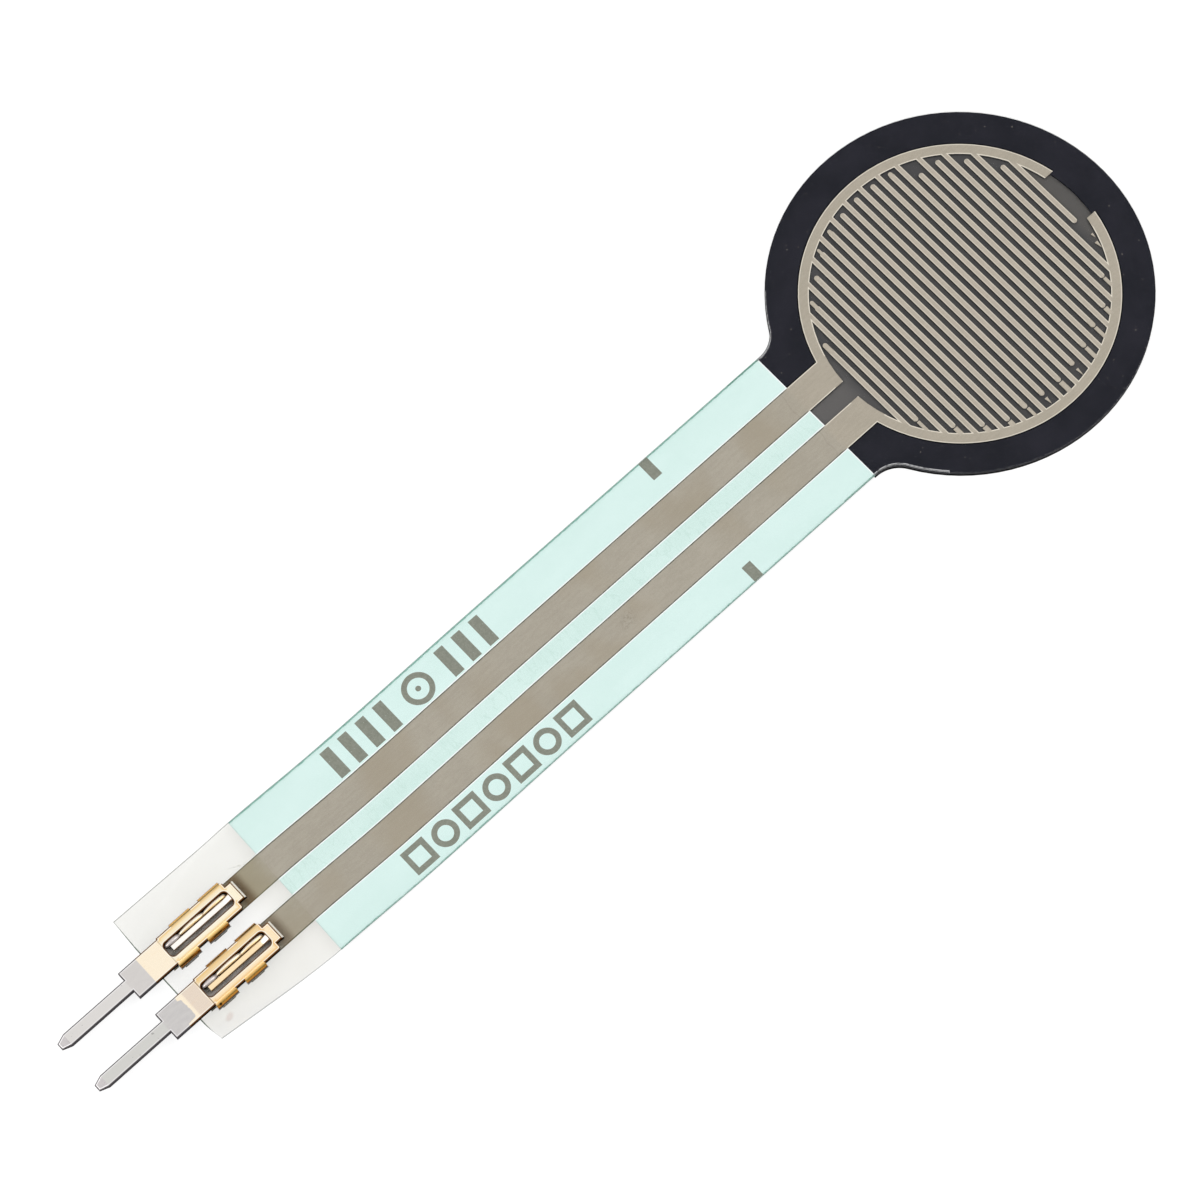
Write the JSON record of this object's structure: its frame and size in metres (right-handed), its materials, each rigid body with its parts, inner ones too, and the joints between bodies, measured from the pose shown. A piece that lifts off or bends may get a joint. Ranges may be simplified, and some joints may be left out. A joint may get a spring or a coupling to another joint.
{
  "type": "force sensing resistor",
  "caption": "Thin round force sensing resistor with interdigitated silver fingers, a flat printed film tail and crimped solder contacts.",
  "frame": {"origin": "centre of the printed sensing circle of the head, on the rear face of the release liner", "axes": "+X from the head along the tail to the solder pins, +Z out of the sensing face"},
  "size_m": [0.063, 0.0181, 0.0016],
  "materials": {
    "liner_paper": "satin brown-black glassine release paper",
    "adhesive": "dull black acrylic transfer adhesive",
    "black_film": "satin black polyester film",
    "carbon_ink": "matte dark grey carbon ink",
    "black_spacer": "matte black adhesive spacer",
    "silver_ink": "matte printed silver ink",
    "grey_ink": "matte olive grey printed ink",
    "dielectric_ink": "satin pale green-blue dielectric ink",
    "clear_film": "clear glossy polyester film",
    "plated_contact": "gold plate on the crimped end, matte tin plate on the solder end"
  },
  "bodies": {
    "root": {"release_liner": "liner_paper", "rear_adhesive": "adhesive", "base_film": "black_film", "force_sensing_ink": "carbon_ink", "spacer_adhesive": "black_spacer", "electrode_comb_left": "silver_ink", "electrode_comb_right": "silver_ink", "index_marks": "grey_ink", "code_bars": "grey_ink", "pattern_marks": "grey_ink", "tail_dielectric": "dielectric_ink", "top_film": "clear_film", "contact_left": "plated_contact", "contact_right": "plated_contact"}
  },
  "joints": []
}
